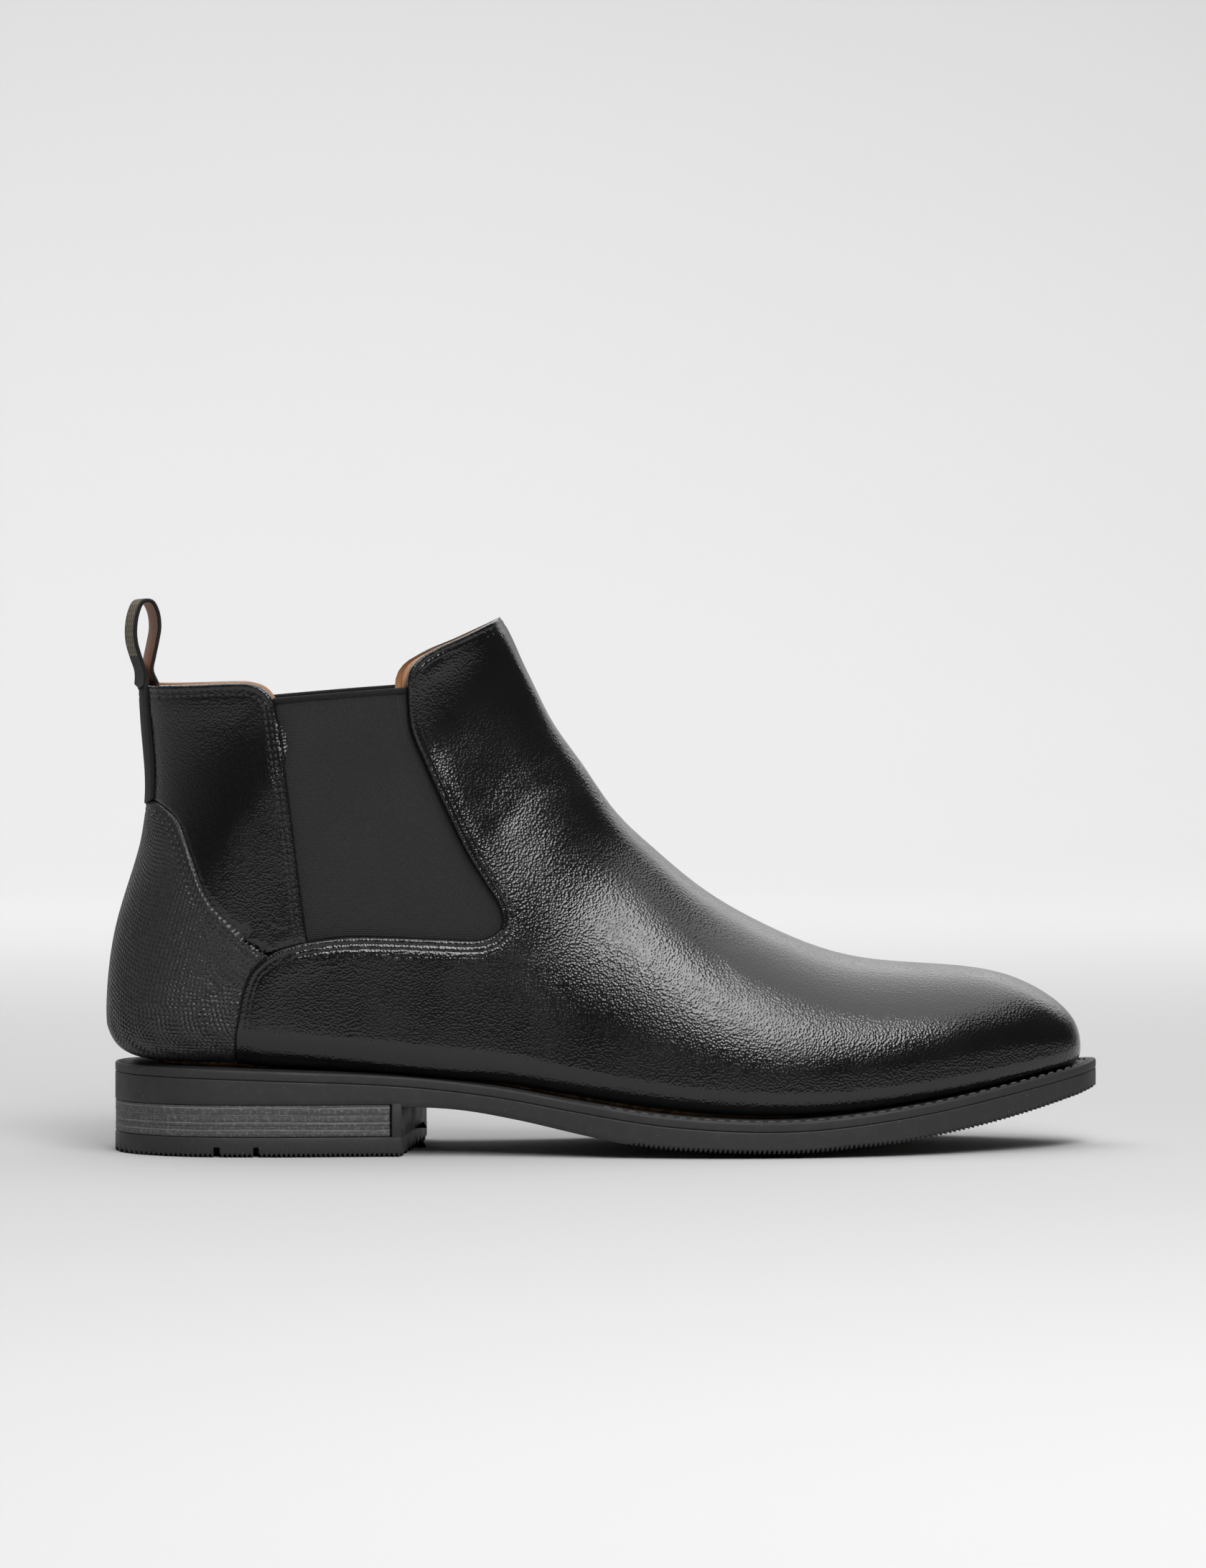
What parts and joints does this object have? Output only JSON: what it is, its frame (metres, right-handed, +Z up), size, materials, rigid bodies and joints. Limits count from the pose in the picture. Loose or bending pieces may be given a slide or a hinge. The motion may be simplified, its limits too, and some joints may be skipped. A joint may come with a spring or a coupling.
{
  "type": "chelsea boot",
  "caption": "Ankle boot with elastic side panels, a back pull loop, a welted rubber sole and a low stacked heel; slips on without laces.",
  "frame": {"origin": "centre of the bounding box's bottom face, on the ground under the boot", "axes": "+X from heel to toe, +Y to the medial (inner) side, +Z up; this is a right boot"},
  "size_m": [0.31, 0.103, 0.1713],
  "materials": {
    "calf": "smooth black calf, semi-gloss",
    "embossed_calf": "black calf embossed with a grid of small dimples",
    "tape": "black woven tape with a plain woven pattern on the loop",
    "elastic": "black ribbed elastic webbing",
    "lining": "tan smooth lining leather",
    "board": "fibreboard and stiffened leather, unfinished",
    "cork": "bound cork granules",
    "steel": "bare spring steel",
    "rubber": "black rubber, matt",
    "stack": "layers of grey-black leather board, brushed"
  },
  "bodies": {
    "boot": {"vamp": "calf", "toe_puff": "board", "vamp_lining": "lining", "heel_counter": "embossed_calf", "heel_stiffener": "board", "heel_lining": "lining", "gore_lateral": "elastic", "gore_medial": "elastic", "gore_binding_lateral": "tape", "gore_binding_medial": "tape", "insole_board": "board", "sock_liner": "lining", "cork_filler": "cork", "shank": "steel", "welt": "rubber", "outsole": "rubber", "heel_lift_1": "stack", "heel_lift_2": "stack", "heel_lift_3": "stack", "top_lift": "rubber", "heel_nail_1": "steel", "heel_nail_2": "steel", "heel_nail_3": "steel", "heel_nail_4": "steel", "heel_nail_5": "steel"},
    "back_leg": {"quarter_lateral": "calf", "quarter_medial": "calf", "quarter_lining": "lining", "back_strip": "tape"},
    "loop": {"pull_loop": "tape"}
  },
  "joints": [
    {"name": "gore_stretch", "type": "hinge", "parent": "boot", "child": "back_leg", "pos_m": [-0.123, 0.0015, 0.08], "axis": [0, -1, 0], "range_deg": [0, 8], "stiffness_Nm_per_rad": 8, "deforming": ["gore_lateral", "gore_medial", "gore_binding_lateral", "gore_binding_medial", "quarter_lateral", "quarter_medial", "quarter_lining"]},
    {"name": "loop_swing", "type": "hinge", "parent": "back_leg", "child": "loop", "pos_m": [-0.1434, 0.0015, 0.1476], "axis": [0, 1, 0], "range_deg": [-75, 60], "stiffness_Nm_per_rad": 0.005}
  ]
}
